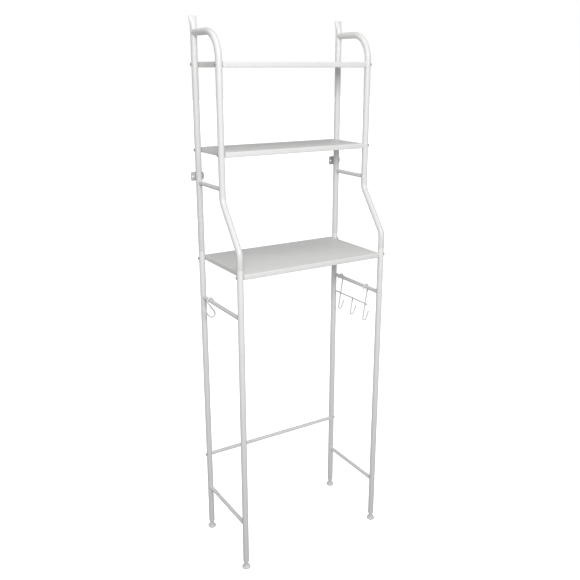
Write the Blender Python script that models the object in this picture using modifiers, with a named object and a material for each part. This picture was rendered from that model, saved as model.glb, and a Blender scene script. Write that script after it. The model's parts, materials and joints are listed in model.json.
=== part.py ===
"""Over-toilet storage rack: two welded side frames, three sheet-metal shelves and two hung hooks.

Metres, +Z up. The floor is Z = 0, the front is -Y, the wall is +Y, and the four legs stand
round the origin. Neighbouring pieces keep a gap of GAP between their faces.
"""

import math

import bmesh
import bpy
from mathutils import Matrix, Vector

# Overall frame
LEG_SPACING_X = 0.480
LEG_SPACING_Y = 0.243
UPPER_DEPTH = 0.149
LOWER_FRAME_HEIGHT = 0.955
UPPER_FRAME_HEIGHT = 0.652
GAP = 0.0003

# Tubes, bars and wires
TUBE_RADIUS = 0.009
TUBE_WALL = 0.001
BAR_RADIUS = 0.006
BAR_WALL = 0.0008
WIRE_RADIUS = 0.0025
TUBE_SIDES = 20
BAR_SIDES = 16
WIRE_SIDES = 10
BEND_STEP = 15.0

# Side frames: the sleeve in the seam between the lower and upper halves, the arch and the S-bend
CONNECTOR_BELOW = 0.050
CONNECTOR_ABOVE = 0.024
CONNECTOR_WALL = 0.001
ARCH_BELOW_TOP = 0.043
ARCH_BEND = 0.068
S_BEND_ABOVE_SEAM = 0.107
S_BEND_ANGLE = 37.0
S_BEND_RADIUS = 0.045

# The rear uprights' tops, pressed oval against the wall: the oval's length, the taper below it,
# how much wider than the round tube it is to each side, and how thick it stays
PRESS_OVAL = 0.004
PRESS_TAPER = 0.026
PRESS_SPREAD = 0.0025
PRESS_THICKNESS = 0.010

# Heights of the cross members, above the floor or above the seam
FLOOR_BAR_HEIGHT = 0.155
CROSSBAR_HEIGHT = 0.276
HOOK_BAR_HEIGHT = 0.812
UPPER_BAR_ABOVE_SEAM = 0.202

# Shelves: a flat top with lips folded down and a hem folded inward
SHELF_ABOVE_SEAM = {"bottom": -0.015, "middle": 0.302, "top": 0.533}
SHELF_LIP = 0.0148
SHELF_SHEET = 0.001
SHELF_FOLD = 0.0025
SHELF_HEM = 0.008
SHELF_CORNER = 0.003
FOLD_STEPS = 3
CORNER_STEPS = 5

# Screws
SCREW_DROP = 0.007
SCREW_RADIUS = 0.002
SCREW_CLEARANCE = 0.0003
SCREW_SIDES = 12
SCREW_PAST_LIP = 0.005
HEAD_RADIUS = 0.0045
HEAD_HEIGHT = 0.0026
RECESS_WIDTH = 0.0012
RECESS_SPAN = 0.0046
RECESS_DEPTH = 0.0013
CROSSBAR_THREAD = 0.014

# Wall brackets: a plate behind each rear upright, square at its left end and round at its right
BRACKET_HEIGHT = 0.026
BRACKET_ABOVE_BAR = {"left": -0.0012, "right": 0.0130}
BRACKET_SHEET = 0.0015
BRACKET_EAR = 0.0115
BRACKET_HOLE_ALONG_EAR = 0.0058
BRACKET_HOLE_RADIUS = 0.0022
BRACKET_SQUARE_CORNER = 0.003
BRACKET_ROUND_CORNER = 0.0095

# Leg ends and feet. The collar is given as (inset from the tube's face, drop below its end)
INSERT_LENGTH = 0.030
COLLAR_HEIGHT = 0.0048
COLLAR_STEPS = [(0.0026, COLLAR_HEIGHT), (0.0018, 0.0037), (0.0009, 0.0022), (0.0003, 0.0005)]
STUD_RADIUS = 0.003
STUD_LENGTH = 0.0301
FOOT_PROFILE = [
    (0.0082, 0.0),
    (0.0104, 0.0012),
    (0.0121, 0.0028),
    (0.0130, 0.0048),
    (0.0130, 0.0065),
    (0.0122, 0.0082),
    (0.0100, 0.0100),
    (0.0074, 0.0110),
    (0.0064, 0.0120),
]
FOOT_NECK = 0.0064
FOOT_NECK_TOP = 0.0209
LATHE_SIDES = 20

# Hook rack on the right-hand hook bar
RACK_CURL_PLAY = 0.0005
RACK_WRAP = 225.0
RACK_DROP = 0.110
J_RADIUS = 0.0065
J_FLARE = 12.0
J_RISE = 0.030
RACK_BACK = 0.040
RACK_FRONT = 0.174
CROSS_WIRE_DROP = 0.0535
CROSS_WIRE_OVERHANG = 0.018
MIDDLE_J_TOP = 0.003

# S-hook on the left-hand hook bar
S_HOOK_BACK = 0.047
S_CURL_PLAY = 0.0010
S_WRAP = 259.0
S_START = 222.0
S_LIMB = 0.0358
S_BELLY = 0.0105
S_BELLY_TURN = 182.0
S_TIP = 0.0266

# Derived
RACK_HEIGHT = LOWER_FRAME_HEIGHT + UPPER_FRAME_HEIGHT
SEAM_HEIGHT = LOWER_FRAME_HEIGHT
ARCH_HEIGHT = RACK_HEIGHT - ARCH_BELOW_TOP
S_BEND_HEIGHT = SEAM_HEIGHT + S_BEND_ABOVE_SEAM
UPPER_BAR_HEIGHT = SEAM_HEIGHT + UPPER_BAR_ABOVE_SEAM
SHELF_TOPS = {level: SEAM_HEIGHT + above for level, above in SHELF_ABOVE_SEAM.items()}
PRESS_END = RACK_HEIGHT - PRESS_OVAL
PRESS_START = PRESS_END - PRESS_TAPER
PRESS_HALF_WIDTH = TUBE_RADIUS + PRESS_SPREAD
PRESS_SHIFT = TUBE_RADIUS - PRESS_THICKNESS / 2
BRACKET_HALF_WIDTH = TUBE_RADIUS + BRACKET_EAR
BRACKET_HOLE_OFFSET = TUBE_RADIUS + BRACKET_HOLE_ALONG_EAR
BRACKET_LOW = UPPER_BAR_HEIGHT + BAR_RADIUS
LEG_END = FOOT_NECK_TOP + GAP + COLLAR_HEIGHT
STUD_TOP = FOOT_NECK_TOP + STUD_LENGTH
RACK_CURL = BAR_RADIUS + WIRE_RADIUS + RACK_CURL_PLAY
S_CURL = BAR_RADIUS + WIRE_RADIUS + S_CURL_PLAY
HALF_X = LEG_SPACING_X / 2
REAR_Y = LEG_SPACING_Y / 2
FRONT_Y = -LEG_SPACING_Y / 2
UPPER_Y = REAR_Y - UPPER_DEPTH
BORE_RADIUS = TUBE_RADIUS - TUBE_WALL
PLUG_RADIUS = BORE_RADIUS - GAP
DRILL_RADIUS = SCREW_RADIUS + SCREW_CLEARANCE
SIDES = {"left": -1.0, "right": 1.0}


def clear_scene():
    for obj in list(bpy.data.objects):
        bpy.data.objects.remove(obj)


def new_collection(name):
    collection = bpy.data.collections.new(name)
    bpy.context.scene.collection.children.link(collection)
    return collection


def new_material(name, colour, roughness, metallic):
    material = bpy.data.materials.new(name)
    material.use_nodes = True
    shader = material.node_tree.nodes["Principled BSDF"]
    shader.inputs["Base Color"].default_value = (*colour, 1.0)
    shader.inputs["Roughness"].default_value = roughness
    shader.inputs["Metallic"].default_value = metallic
    return material


clear_scene()
PARTS = new_collection("over_toilet_storage_rack")
CUTTERS = new_collection("cutters")
CUTTERS.hide_render = True
WHITE_COAT = new_material("white_powder_coat", (0.86, 0.86, 0.85), 0.38, 0.0)
GREY_PLASTIC = new_material("light_grey_plastic", (0.62, 0.62, 0.61), 0.5, 0.0)
ZINC = new_material("zinc_plated_steel", (0.55, 0.55, 0.54), 0.35, 0.9)
BARE_STEEL = new_material("plain_steel", (0.48, 0.48, 0.48), 0.45, 0.9)


def put(name, bm, material, origin=(0.0, 0.0, 0.0)):
    """Makes the object from a closed bmesh drawn round its origin."""
    bmesh.ops.recalc_face_normals(bm, faces=bm.faces)
    return put_faces(name, bm, material, origin)


def put_sheet(name, bm, material, thickness, origin=(0.0, 0.0, 0.0)):
    """Makes the object from an open outer skin, and gives it its sheet thickness inward."""
    obj = put_faces(name, bm, material, origin)
    modifier = obj.modifiers.new("sheet", "SOLIDIFY")
    modifier.thickness = thickness
    modifier.offset = -1.0
    modifier.use_even_offset = True
    return obj


def put_faces(name, bm, material, origin):
    mesh = bpy.data.meshes.new(name)
    bm.to_mesh(mesh)
    bm.free()
    mesh.shade_smooth()
    mesh.set_sharp_from_angle(angle=math.radians(35))
    mesh.materials.append(material)
    obj = bpy.data.objects.new(name, mesh)
    obj.location = origin
    PARTS.objects.link(obj)
    return obj


def put_cutter(name, bm):
    bmesh.ops.recalc_face_normals(bm, faces=bm.faces)
    mesh = bpy.data.meshes.new(name)
    bm.to_mesh(mesh)
    bm.free()
    obj = bpy.data.objects.new(name, mesh)
    obj.display_type = "WIRE"
    obj.hide_render = True
    CUTTERS.objects.link(obj)
    return obj


def cut(obj, cutter):
    modifier = obj.modifiers.new("cut_" + cutter.name, "BOOLEAN")
    modifier.operation = "DIFFERENCE"
    modifier.solver = "EXACT"
    modifier.object = cutter


def join_rings(bm, rings):
    """Faces between neighbouring rings of vertices."""
    for ring, after in zip(rings, rings[1:]):
        for i in range(len(ring)):
            j = (i + 1) % len(ring)
            bm.faces.new((ring[i], ring[j], after[j], after[i]))


def cap_ends(bm, rings):
    bm.faces.new(reversed(rings[0]))
    bm.faces.new(rings[-1])


def ring_at(bm, centre, across, up, sides):
    """One ring of vertices: across and up are its two half-axes."""
    ring = []
    for i in range(sides):
        angle = math.tau * i / sides
        ring.append(bm.verts.new(centre + math.cos(angle) * across + math.sin(angle) * up))
    return ring


def sweep_rings(bm, points, normal, radius, sides):
    """Rings of a round section along points that all lie in the plane of one normal."""
    rings = []
    last = len(points) - 1
    for i, point in enumerate(points):
        heading = (points[min(i + 1, last)] - points[max(i - 1, 0)]).normalized()
        rings.append(ring_at(bm, point, radius * normal, radius * heading.cross(normal), sides))
    join_rings(bm, rings)
    return rings


def trace(start, heading, moves):
    """Flat centreline points. A move is (length, 0) for a run, or (radius, degrees) for a bend."""
    points = [Vector(start)]
    angle = math.radians(heading)
    for size, degrees in moves:
        if degrees == 0:
            points.append(points[-1] + size * Vector((math.cos(angle), math.sin(angle))))
            continue
        steps = math.ceil(abs(degrees) / BEND_STEP)
        turn = math.radians(degrees) / steps
        reach = math.copysign(size, degrees)
        centre = points[-1] + reach * Vector((-math.sin(angle), math.cos(angle)))
        arm = points[-1] - centre
        for _ in range(steps):
            arm = Matrix.Rotation(turn, 2) @ arm
            points.append(centre + arm)
        angle += math.radians(degrees)
    return points


def tube(name, points, normal, radius, wall, sides, material):
    """A hollow tube, open at both ends."""
    bm = bmesh.new()
    sweep_rings(bm, points, normal, radius, sides)
    return put_sheet(name, bm, material, wall)


def wire(name, points, normal, material, origin):
    """A solid wire whose two ends are chamfered."""
    bm = bmesh.new()
    chamfer = WIRE_RADIUS * 0.4
    nose = (points[0] - points[1]).normalized()
    tail = (points[-1] - points[-2]).normalized()
    body = [points[0] - nose * chamfer, *points[1:-1], points[-1] - tail * chamfer]
    rings = sweep_rings(bm, body, normal, WIRE_RADIUS, WIRE_SIDES)
    small = WIRE_RADIUS * 0.6
    first = ring_at(bm, points[0], small * normal, -small * nose.cross(normal), WIRE_SIDES)
    final = ring_at(bm, points[-1], small * normal, small * tail.cross(normal), WIRE_SIDES)
    join_rings(bm, [first, rings[0]])
    join_rings(bm, [rings[-1], final])
    cap_ends(bm, [first, final])
    return put(name, bm, material, origin)


def turned(bm, profile, sides, closed):
    """Turns (radius, height) points round +Z. closed joins the last ring to the first, as for a sleeve."""
    rings = []
    for radius, height in profile:
        centre = Vector((0, 0, height))
        rings.append(ring_at(bm, centre, Vector((radius, 0, 0)), Vector((0, radius, 0)), sides))
    if closed:
        join_rings(bm, [*rings, rings[0]])
    else:
        join_rings(bm, rings)
        cap_ends(bm, rings)


def drill(name, x, y, z, side):
    """Cutter for one screw: along X, from outside the upright to beyond the shelf's lip."""
    bm = bmesh.new()
    start = Vector((side * (HALF_X + TUBE_RADIUS + 0.004), y, z))
    end = Vector((x, y, z))
    rings = sweep_rings(bm, [start, end], Vector((0, 1, 0)), DRILL_RADIUS, SCREW_SIDES)
    cap_ends(bm, rings)
    return put_cutter("drill_" + name, bm)


def coping_cutter(name, x, y):
    """Upright cylinder that shapes a tube's or bar's end to sit round an upright."""
    bm = bmesh.new()
    turned(bm, [(TUBE_RADIUS + GAP, LEG_END), (TUBE_RADIUS + GAP, RACK_HEIGHT)], TUBE_SIDES, False)
    bmesh.ops.translate(bm, verts=bm.verts, vec=(x, y, 0))
    return put_cutter("cope_" + name, bm)


def screw_bmesh(length):
    """Pan-head screw along -Z, the underside of its head at Z = 0."""
    bm = bmesh.new()
    tip = SCREW_RADIUS * 0.7
    profile = [
        (tip, -length),
        (SCREW_RADIUS, -length + 0.0008),
        (SCREW_RADIUS, 0.0),
        (HEAD_RADIUS, 0.0),
        (HEAD_RADIUS, HEAD_HEIGHT * 0.4),
        (HEAD_RADIUS * 0.82, HEAD_HEIGHT * 0.8),
        (HEAD_RADIUS * 0.55, HEAD_HEIGHT),
    ]
    turned(bm, profile, SCREW_SIDES, False)
    return bm


def recess_cutter(name, at, side):
    """Cross-shaped driver recess in a head that faces outward along X."""
    bm = bmesh.new()
    half = RECESS_SPAN / 2
    arm = RECESS_WIDTH / 2
    outline = [
        (arm, arm),
        (arm, half),
        (-arm, half),
        (-arm, arm),
        (-half, arm),
        (-half, -arm),
        (-arm, -arm),
        (-arm, -half),
        (arm, -half),
        (arm, -arm),
        (half, -arm),
        (half, arm),
    ]
    outer = at.x + side * (HEAD_HEIGHT + 0.001)
    inner = at.x + side * (HEAD_HEIGHT - RECESS_DEPTH)
    rings = []
    for x in (inner, outer):
        rings.append([bm.verts.new((x, at.y + y, at.z + z)) for y, z in outline])
    join_rings(bm, rings)
    cap_ends(bm, rings)
    return put_cutter("recess_" + name, bm)


def screw(name, y, z, side, inner_x):
    """A screw through an upright. inner_x is where its tip ends, measured from the middle."""
    head_x = HALF_X + TUBE_RADIUS + GAP
    origin = Vector((side * head_x, y, z))
    bm = screw_bmesh(head_x - inner_x)
    bmesh.ops.rotate(bm, verts=bm.verts, matrix=Matrix.Rotation(side * math.pi / 2, 3, "Y"))
    obj = put(name, bm, ZINC, origin)
    cut(obj, recess_cutter(name, origin, side))
    return obj


def rounded_loop(bm, inset, z, y_front, y_rear, half_x):
    """A rectangle with rounded corners, at height z, inset from the shelf's outline."""
    radius = max(SHELF_CORNER - inset, 0.0006)
    loop = []
    corners = [
        (half_x - inset - radius, y_rear - inset - radius, 0),
        (-half_x + inset + radius, y_rear - inset - radius, 90),
        (-half_x + inset + radius, y_front + inset + radius, 180),
        (half_x - inset - radius, y_front + inset + radius, 270),
    ]
    for x, y, first in corners:
        for step in range(FOLD_STEPS + 1):
            angle = math.radians(first + 90 * step / FOLD_STEPS)
            loop.append(bm.verts.new((x + radius * math.cos(angle), y + radius * math.sin(angle), z)))
    return loop


def shelf(name, z_top, y_front):
    """A pressed-sheet shelf that fills the space between the left and right uprights."""
    bm = bmesh.new()
    half_x = HALF_X - TUBE_RADIUS - GAP
    y_rear = REAR_Y + TUBE_RADIUS
    stations = []
    for step in range(FOLD_STEPS + 1):
        angle = math.radians(90 * step / FOLD_STEPS)
        stations.append((SHELF_FOLD * (1 - math.sin(angle)), -SHELF_FOLD * (1 - math.cos(angle))))
    for step in range(FOLD_STEPS + 1):
        angle = math.radians(90 * step / FOLD_STEPS)
        drop = SHELF_LIP - SHELF_FOLD * (1 - math.sin(angle))
        stations.append((SHELF_FOLD * (1 - math.cos(angle)), -drop))
    stations.append((SHELF_HEM, -SHELF_LIP))
    stations.reverse()
    rings = [rounded_loop(bm, inset, z_top + drop, y_front, y_rear, half_x) for inset, drop in stations]
    join_rings(bm, rings)
    bm.faces.new(rings[-1])
    return put_sheet(name, bm, WHITE_COAT, SHELF_SHEET)


def upright_body(bm, x, inset, z_low, z_round, z_oval, z_high):
    """A round tube's solid whose top is pressed oval, with every face moved in by inset."""
    centre = Vector((x, REAR_Y, 0))
    pressed = centre + Vector((0, PRESS_SHIFT, 0))
    lift = Vector((0, 0, 1))
    across = Vector((TUBE_RADIUS - inset, 0, 0))
    deep = Vector((0, TUBE_RADIUS - inset, 0))
    wide = Vector((PRESS_HALF_WIDTH - inset, 0, 0))
    thin = Vector((0, PRESS_THICKNESS / 2 - inset, 0))
    rings = [ring_at(bm, centre + z * lift, across, deep, TUBE_SIDES) for z in (z_low, z_round)]
    rings += [ring_at(bm, pressed + z * lift, wide, thin, TUBE_SIDES) for z in (z_oval, z_high)]
    join_rings(bm, rings)
    cap_ends(bm, rings)


def rear_upper_upright(label, side):
    """The rear upright above the seam, with its pressed top."""
    x = side * HALF_X
    bm = bmesh.new()
    upright_body(bm, x, 0.0, SEAM_HEIGHT + GAP / 2, PRESS_START, PRESS_END, RACK_HEIGHT)
    obj = put(label + "_rear_upper_upright", bm, WHITE_COAT)
    bore = bmesh.new()
    upright_body(bore, x, TUBE_WALL, SEAM_HEIGHT - 0.01, PRESS_START, PRESS_END, RACK_HEIGHT + 0.01)
    cut(obj, put_cutter("bore_" + label + "_rear_upper_upright", bore))
    return obj


def front_upper_tube(label, side, rear_cope):
    """The front tube above the seam: S-bend, riser and the arch back to the rear upright."""
    lean = math.radians(S_BEND_ANGLE)
    half_rise = S_BEND_RADIUS * math.sin(lean)
    shift = LEG_SPACING_Y - UPPER_DEPTH
    slant = (shift - 2 * S_BEND_RADIUS * (1 - math.cos(lean))) / math.sin(lean)
    half_height = half_rise + slant * math.cos(lean) / 2
    start_z = SEAM_HEIGHT + GAP / 2
    riser = ARCH_HEIGHT - ARCH_BEND - (S_BEND_HEIGHT + half_height)
    moves = [
        (S_BEND_HEIGHT - half_height - start_z, 0),
        (S_BEND_RADIUS, -S_BEND_ANGLE),
        (slant, 0),
        (S_BEND_RADIUS, S_BEND_ANGLE),
        (riser, 0),
        (ARCH_BEND, -90),
        (UPPER_DEPTH - ARCH_BEND, 0),
    ]
    flat = trace((FRONT_Y, start_z), 90, moves)
    points = [Vector((side * HALF_X, y, z)) for y, z in flat]
    name = label + "_front_upper_tube"
    obj = tube(name, points, Vector((1, 0, 0)), TUBE_RADIUS, TUBE_WALL, TUBE_SIDES, WHITE_COAT)
    cut(obj, rear_cope)
    return obj


def leg(name, x, y):
    """A straight lower leg, from its foot insert to the seam."""
    points = [Vector((x, y, LEG_END)), Vector((x, y, SEAM_HEIGHT - GAP / 2))]
    return tube(name, points, Vector((1, 0, 0)), TUBE_RADIUS, TUBE_WALL, TUBE_SIDES, WHITE_COAT)


def side_bar(name, x, y_front, z, rear_cope, front_cope):
    """A thin bar welded between the front and rear tubes of one side."""
    points = [Vector((x, y_front, z)), Vector((x, REAR_Y, z))]
    obj = tube(name, points, Vector((1, 0, 0)), BAR_RADIUS, BAR_WALL, BAR_SIDES, WHITE_COAT)
    cut(obj, rear_cope)
    cut(obj, front_cope)
    return obj


def connector(name, x, y):
    """The sleeve inside the seam that lines the two halves of an upright up."""
    bm = bmesh.new()
    low, high = -CONNECTOR_BELOW, CONNECTOR_ABOVE
    inner = PLUG_RADIUS - CONNECTOR_WALL
    profile = [(PLUG_RADIUS, low), (PLUG_RADIUS, high), (inner, high), (inner, low)]
    turned(bm, profile, TUBE_SIDES, True)
    return put(name, bm, BARE_STEEL, (x, y, SEAM_HEIGHT))


def crossbar(copes):
    """The rear bar near the floor, bored for a screw at each end."""
    bm = bmesh.new()
    points = [Vector((-HALF_X, REAR_Y, CROSSBAR_HEIGHT)), Vector((HALF_X, REAR_Y, CROSSBAR_HEIGHT))]
    cap_ends(bm, sweep_rings(bm, points, Vector((0, 1, 0)), BAR_RADIUS, BAR_SIDES))
    obj = put("rear_crossbar", bm, WHITE_COAT)
    bore = bmesh.new()
    thread_end = HALF_X - TUBE_RADIUS - CROSSBAR_THREAD
    hollow = BAR_RADIUS - BAR_WALL
    stations = [
        (-HALF_X, DRILL_RADIUS),
        (-thread_end, DRILL_RADIUS),
        (-thread_end + 0.001, hollow),
        (thread_end - 0.001, hollow),
        (thread_end, DRILL_RADIUS),
        (HALF_X, DRILL_RADIUS),
    ]
    rings = []
    for x, radius in stations:
        centre = Vector((x, REAR_Y, CROSSBAR_HEIGHT))
        rings.append(ring_at(bore, centre, Vector((0, radius, 0)), Vector((0, 0, radius)), SCREW_SIDES))
    join_rings(bore, rings)
    cap_ends(bore, rings)
    cut(obj, put_cutter("bore_rear_crossbar", bore))
    for cope in copes:
        cut(obj, cope)
    return obj


def wall_bracket(label, side):
    """A plate between a rear upright and the wall, with a wall-screw hole in its square end."""
    front = TUBE_RADIUS + GAP
    low = BRACKET_LOW + BRACKET_ABOVE_BAR[label]
    height = low + BRACKET_HEIGHT / 2
    outline = []
    corners = [
        (1, 1, BRACKET_ROUND_CORNER),
        (-1, 1, BRACKET_SQUARE_CORNER),
        (-1, -1, BRACKET_SQUARE_CORNER),
        (1, -1, BRACKET_ROUND_CORNER),
    ]
    for quarter, (right, up, radius) in enumerate(corners):
        middle_x = right * (BRACKET_HALF_WIDTH - radius)
        middle_z = up * (BRACKET_HEIGHT / 2 - radius)
        for step in range(CORNER_STEPS + 1):
            angle = math.radians(90 * (quarter + step / CORNER_STEPS))
            outline.append((middle_x + radius * math.cos(angle), middle_z + radius * math.sin(angle)))
    bm = bmesh.new()
    rings = []
    for y in (front, front + BRACKET_SHEET):
        rings.append([bm.verts.new((x, y, z)) for x, z in outline])
    join_rings(bm, rings)
    cap_ends(bm, rings)
    obj = put(label + "_wall_bracket", bm, ZINC, (side * HALF_X, REAR_Y, height))
    hole = bmesh.new()
    at = Vector((side * HALF_X - BRACKET_HOLE_OFFSET, REAR_Y + front, height))
    reach = Vector((0, 0.01, 0))
    rings = sweep_rings(hole, [at - reach, at + reach], Vector((1, 0, 0)), BRACKET_HOLE_RADIUS, 12)
    cap_ends(hole, rings)
    cut(obj, put_cutter("hole_" + label + "_wall_bracket", hole))


def leg_insert(name, x, y):
    """The plastic plug in a leg's end, with a collar below the tube and a bore for the foot's stud."""
    bm = bmesh.new()
    bore = STUD_RADIUS + GAP
    top = LEG_END + INSERT_LENGTH
    collar = [(TUBE_RADIUS - inset, LEG_END - drop) for inset, drop in COLLAR_STEPS]
    profile = [
        *collar,
        (collar[-1][0], LEG_END - GAP),
        (PLUG_RADIUS, LEG_END - GAP),
        (PLUG_RADIUS, top - 0.001),
        (PLUG_RADIUS - 0.001, top),
        (bore, top),
        (bore, collar[0][1]),
    ]
    turned(bm, profile, TUBE_SIDES, True)
    return put(name, bm, GREY_PLASTIC, (x, y, 0))


def foot(name, x, y):
    """A levelling foot: pad, neck and stud in one moulding, standing on the floor."""
    bm = bmesh.new()
    profile = [
        *FOOT_PROFILE,
        (FOOT_NECK, FOOT_NECK_TOP),
        (STUD_RADIUS, FOOT_NECK_TOP),
        (STUD_RADIUS, STUD_TOP - 0.001),
        (STUD_RADIUS - 0.0008, STUD_TOP),
    ]
    turned(bm, profile, LATHE_SIDES, False)
    return put(name, bm, GREY_PLASTIC, (x, y, 0))


def balance(wires):
    """Centre of mass of several centrelines of one wire size."""
    total = 0.0
    moment = Vector((0.0, 0.0))
    for points in wires:
        for a, b in zip(points, points[1:]):
            length = (b - a).length
            total += length
            moment += length * (a + b) / 2
    return total, moment


def hang(wires, extra_length=0.0, extra_at=(0.0, 0.0)):
    """Turns the wires round their curl's centre until they balance straight below it."""
    total, moment = balance(wires)
    moment = moment + extra_length * Vector(extra_at)
    turn = -math.pi / 2 - math.atan2(moment.y, moment.x)
    turned_by = Matrix.Rotation(math.remainder(turn, math.tau), 2)
    return [[turned_by @ point for point in points] for points in wires], turned_by


def curl_centre(curl):
    """Height of a curl's centre when the curl rests on top of its bar."""
    return HOOK_BAR_HEIGHT - (curl - BAR_RADIUS - WIRE_RADIUS - GAP)


def stand_up(points, side):
    """Flat outward-and-up points as points in the X-Z plane of one side."""
    return [Vector((side * out, 0, up)) for out, up in points]


def hook_rack(side):
    """Three J-hooks on a cross wire: the two outer ones run up and curl over the hook bar."""
    heading = RACK_WRAP - 90
    bend = 180 - J_FLARE
    end_up = J_RADIUS * (1 - math.cos(math.radians(bend - 90)))
    tip = (J_RISE - J_RADIUS * (1 - math.sin(math.radians(J_FLARE)))) / math.cos(math.radians(J_FLARE))
    hook = [(J_RADIUS, bend), (tip, 0)]
    drop = RACK_DROP + curl_centre(RACK_CURL) - HOOK_BAR_HEIGHT - J_RADIUS
    wrap = math.radians(RACK_WRAP)
    start = (RACK_CURL * math.cos(wrap), RACK_CURL * math.sin(wrap))
    hanger = trace(start, heading, [(RACK_CURL, -RACK_WRAP), (drop, 0), *hook])
    middle_top = -CROSS_WIRE_DROP + MIDDLE_J_TOP
    middle = trace((RACK_CURL, middle_top), -90, [(drop + middle_top, 0), *hook])
    cross_at = (RACK_CURL - 2 * WIRE_RADIUS - GAP, -CROSS_WIRE_DROP)
    cross_length = RACK_FRONT - RACK_BACK + 2 * CROSS_WIRE_OVERHANG
    (hanger, _, middle), turned_by = hang([hanger, hanger, middle], cross_length, cross_at)
    height = curl_centre(RACK_CURL)
    along_y = Vector((0, 1, 0))
    places = {"back": RACK_BACK, "front": RACK_FRONT}
    for word, back in places.items():
        origin = (side * HALF_X, REAR_Y - back, height)
        wire("hook_rack_" + word + "_hanger", stand_up(hanger, side), along_y, WHITE_COAT, origin)
    origin = (side * HALF_X, REAR_Y - (RACK_BACK + RACK_FRONT) / 2, height)
    wire("hook_rack_middle_hook", stand_up(middle, side), along_y, WHITE_COAT, origin)
    out, up = turned_by @ Vector(cross_at)
    half = Vector((0, cross_length / 2, 0))
    centre = Vector((side * out, 0, up))
    ends = [centre - half, centre + half]
    wire("hook_rack_cross_wire", ends, Vector((1, 0, 0)), WHITE_COAT, origin)


def s_hook(side):
    """An S-shaped hook that hangs over the hook bar."""
    first = math.radians(S_START)
    start = (S_CURL * math.cos(first), S_CURL * math.sin(first))
    moves = [(S_CURL, -S_WRAP), (S_LIMB, 0), (S_BELLY, S_BELLY_TURN), (S_TIP, 0)]
    (points,), _ = hang([trace(start, S_START - 90, moves)])
    origin = (side * HALF_X, REAR_Y - S_HOOK_BACK, curl_centre(S_CURL))
    wire("s_hook", stand_up(points, side), Vector((0, 1, 0)), WHITE_COAT, origin)


def build():
    shelf_fronts = {"bottom": FRONT_Y, "middle": UPPER_Y, "top": UPPER_Y}
    shelves = {}
    for level, z_top in SHELF_TOPS.items():
        shelves[level] = shelf(level + "_shelf", z_top, shelf_fronts[level] - TUBE_RADIUS)
    rear_copes = {}
    for label, side in SIDES.items():
        x = side * HALF_X
        rear_cope = coping_cutter(label + "_rear", x, REAR_Y)
        front_cope = coping_cutter(label + "_front", x, FRONT_Y)
        upper_cope = coping_cutter(label + "_front_upper", x, UPPER_Y)
        rear_copes[label] = rear_cope
        upright = rear_upper_upright(label, side)
        arch = front_upper_tube(label, side, rear_cope)
        rear = leg(label + "_rear_leg", x, REAR_Y)
        front = leg(label + "_front_leg", x, FRONT_Y)
        rear_sleeve = connector(label + "_rear_connector", x, REAR_Y)
        front_sleeve = connector(label + "_front_connector", x, FRONT_Y)
        side_bar(label + "_upper_side_bar", x, UPPER_Y, UPPER_BAR_HEIGHT, rear_cope, upper_cope)
        side_bar(label + "_hook_bar", x, FRONT_Y, HOOK_BAR_HEIGHT, rear_cope, front_cope)
        side_bar(label + "_floor_bar", x, FRONT_Y, FLOOR_BAR_HEIGHT, rear_cope, front_cope)
        wall_bracket(label, side)
        for word, y in {"rear": REAR_Y, "front": FRONT_Y}.items():
            leg_insert(label + "_" + word + "_leg_insert", x, y)
            foot(label + "_" + word + "_foot", x, y)
        drilled = {
            "bottom": {"rear": [rear, rear_sleeve], "front": [front, front_sleeve]},
            "middle": {"rear": [upright], "front": [arch]},
            "top": {"rear": [upright], "front": [arch]},
        }
        tip_x = HALF_X - TUBE_RADIUS - GAP - SHELF_SHEET - SCREW_PAST_LIP
        for level, z_top in SHELF_TOPS.items():
            for word, pieces in drilled[level].items():
                y = REAR_Y if word == "rear" else shelf_fronts[level]
                name = label + "_" + word + "_" + level + "_shelf_screw"
                cutter = drill(name, side * (tip_x - 0.002), y, z_top - SCREW_DROP, side)
                screw(name, y, z_top - SCREW_DROP, side, tip_x)
                for piece in [*pieces, shelves[level]]:
                    cut(piece, cutter)
        name = label + "_crossbar_screw"
        cut(rear, drill(name, side * (HALF_X - TUBE_RADIUS - 0.002), REAR_Y, CROSSBAR_HEIGHT, side))
        screw(name, REAR_Y, CROSSBAR_HEIGHT, side, HALF_X - TUBE_RADIUS - CROSSBAR_THREAD + 0.002)
    crossbar(rear_copes.values())
    hook_rack(SIDES["right"])
    s_hook(SIDES["left"])


build()
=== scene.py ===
# %% [markdown]
# # An over-the-toilet storage rack, finished by hand
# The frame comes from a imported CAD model: white powder-coated tubes, three folded sheet
# shelves, levelling feet and hung wire hooks. Each CAD part says where its piece goes and
# how big it is. This lesson models every visible piece again with Blender's own tools,
# with round tubes, folds and welds, and gives each finish its own material.

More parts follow.
